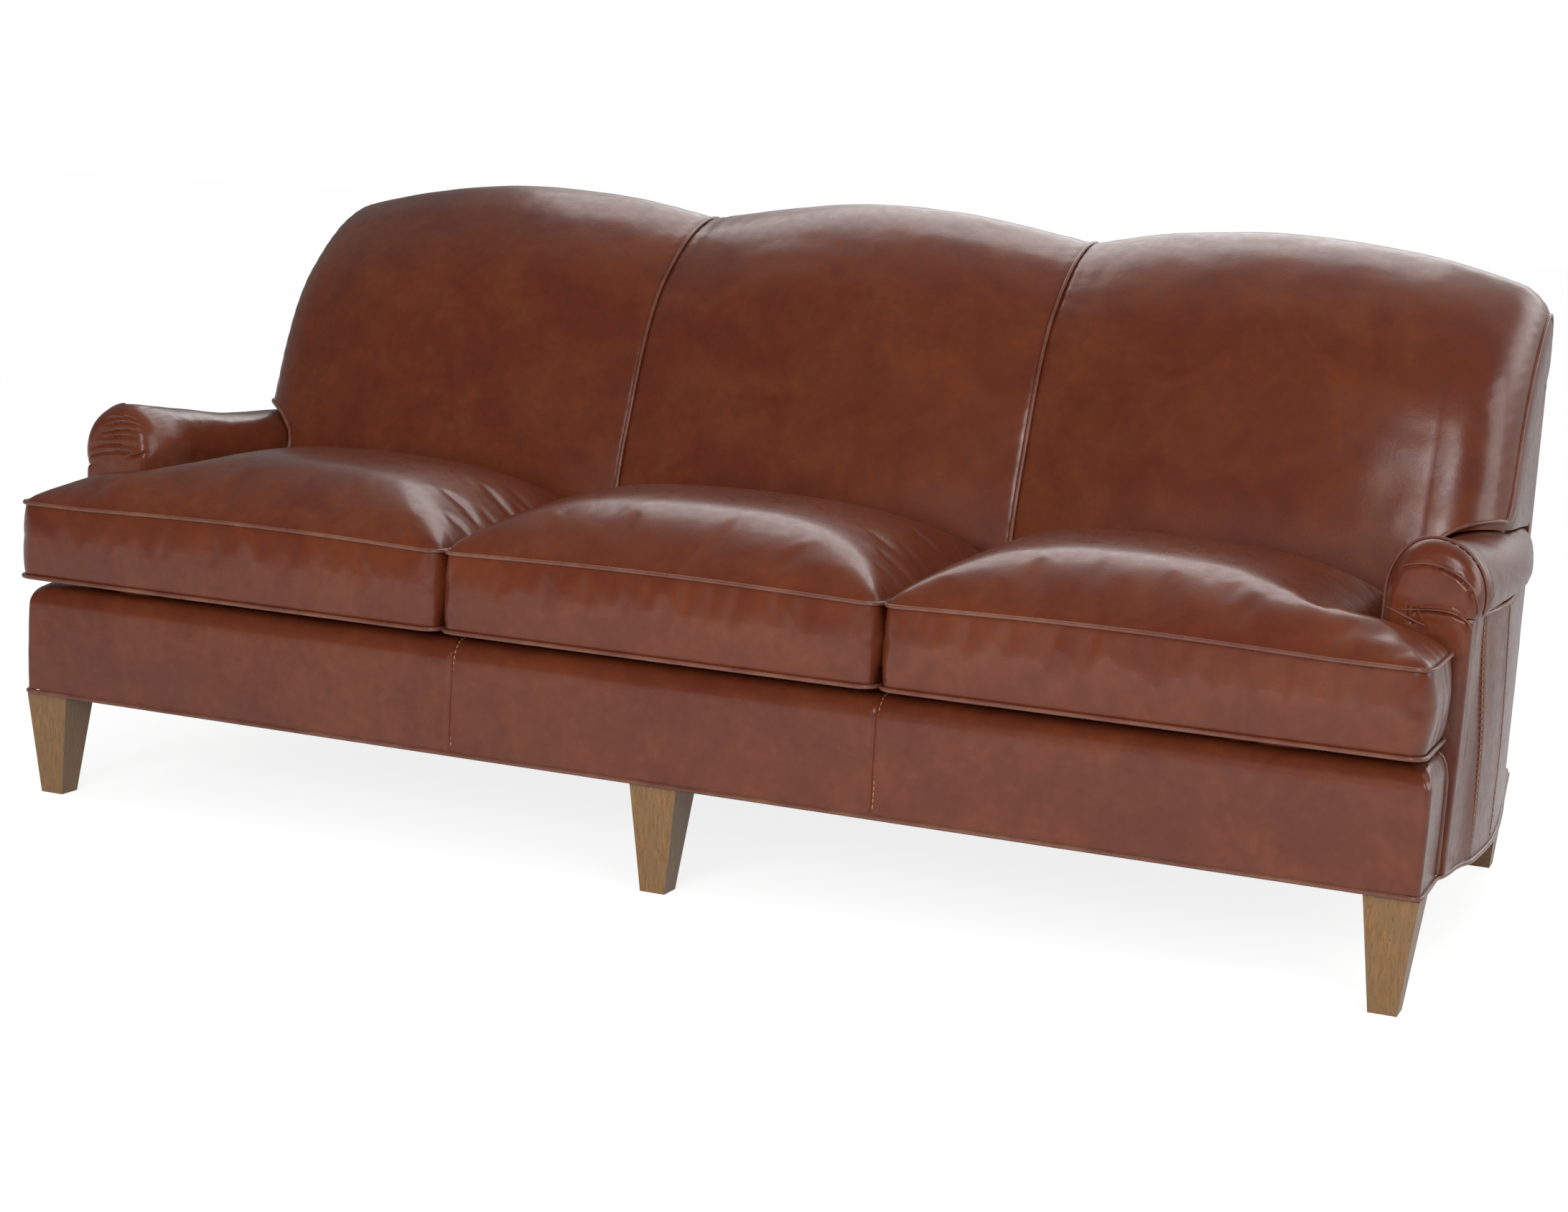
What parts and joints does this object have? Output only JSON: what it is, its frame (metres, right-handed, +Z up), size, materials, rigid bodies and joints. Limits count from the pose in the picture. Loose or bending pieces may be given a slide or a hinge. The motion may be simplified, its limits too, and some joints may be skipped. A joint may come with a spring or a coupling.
{
  "type": "camelback sofa",
  "caption": "Upholstered leather camelback sofa with rolled arms, a humped tight back, loose crowned seat cushions that lift off, and tapered wooden legs.",
  "frame": {"origin": "on the floor under the middle of the sofa: the centre of its box in X and Y, with z = 0 at the leg bottoms", "axes": "+X to the right of someone who faces the front of the sofa, along its length; +Y from the front to the back; +Z up"},
  "size_m": [2.2204, 0.997, 0.9779],
  "materials": {
    "leather": "glossy chestnut pull-up leather with soft creases",
    "welt_leather": "glossy chestnut leather over a welt cord, a little lighter",
    "stained_wood": "satin brown-gold stain",
    "hardwood": "bare sawn hardwood",
    "plywood": "bare birch plywood",
    "spring_steel": "drawn spring wire",
    "deck_cloth": "dark brown woven platform cloth",
    "dust_cloth": "thin black non-woven cloth",
    "foam": "cream upholstery foam",
    "zip_brass": "aged brass teeth on tape"
  },
  "bodies": {
    "frame": {"leg_front_right": "stained_wood", "leg_front_centre": "stained_wood", "leg_front_left": "stained_wood", "leg_rear_right": "stained_wood", "leg_rear_centre": "stained_wood", "leg_rear_left": "stained_wood", "front_rail": "hardwood", "side_rail_right": "hardwood", "side_rail_left": "hardwood", "rear_rail": "hardwood", "seat_stretcher_right": "hardwood", "seat_stretcher_left": "hardwood", "front_corner_block_right": "hardwood", "front_corner_block_left": "hardwood", "rear_corner_block_right": "hardwood", "rear_corner_block_left": "hardwood", "back_upright_outer_right": "plywood", "back_upright_outer_left": "plywood", "back_upright_inner_right": "plywood", "back_upright_inner_left": "plywood", "top_rail": "hardwood", "back_tacking_rail": "hardwood", "arm_post_right": "hardwood", "arm_post_left": "hardwood", "arm_rail_right": "hardwood", "arm_rail_left": "hardwood", "seat_spring_left_1": "spring_steel", "seat_spring_left_2": "spring_steel", "seat_spring_left_3": "spring_steel", "seat_spring_centre_1": "spring_steel", "seat_spring_centre_2": "spring_steel", "seat_spring_centre_3": "spring_steel", "seat_spring_right_1": "spring_steel", "seat_spring_right_2": "spring_steel", "seat_spring_right_3": "spring_steel", "seat_deck": "deck_cloth", "front_border": "leather", "arm_pad_right": "leather", "arm_pad_left": "leather", "side_panel_right": "leather", "side_panel_left": "leather", "back_panel_centre": "leather", "back_panel_right": "leather", "back_panel_left": "leather", "back_seam_welt_right": "welt_leather", "back_seam_welt_left": "welt_leather", "back_end_welt_right": "welt_leather", "back_end_welt_left": "welt_leather", "outside_back": "leather", "base_welt": "welt_leather", "dust_cover": "dust_cloth"},
    "cushion_left": {"cushion_casing_left": "leather", "cushion_core_left": "foam", "cushion_zip_left": "zip_brass"},
    "cushion_centre": {"cushion_casing_centre": "leather", "cushion_core_centre": "foam", "cushion_zip_centre": "zip_brass"},
    "cushion_right": {"cushion_casing_right": "leather", "cushion_core_right": "foam", "cushion_zip_right": "zip_brass"}
  },
  "joints": [
    {"name": "cushion_left_lift", "type": "slide", "parent": "frame", "child": "cushion_left", "axis": [0, 0, 1], "range_m": [0, 0.2]},
    {"name": "cushion_centre_lift", "type": "slide", "parent": "frame", "child": "cushion_centre", "axis": [0, 0, 1], "range_m": [0, 0.2]},
    {"name": "cushion_right_lift", "type": "slide", "parent": "frame", "child": "cushion_right", "axis": [0, 0, 1], "range_m": [0, 0.2]}
  ]
}
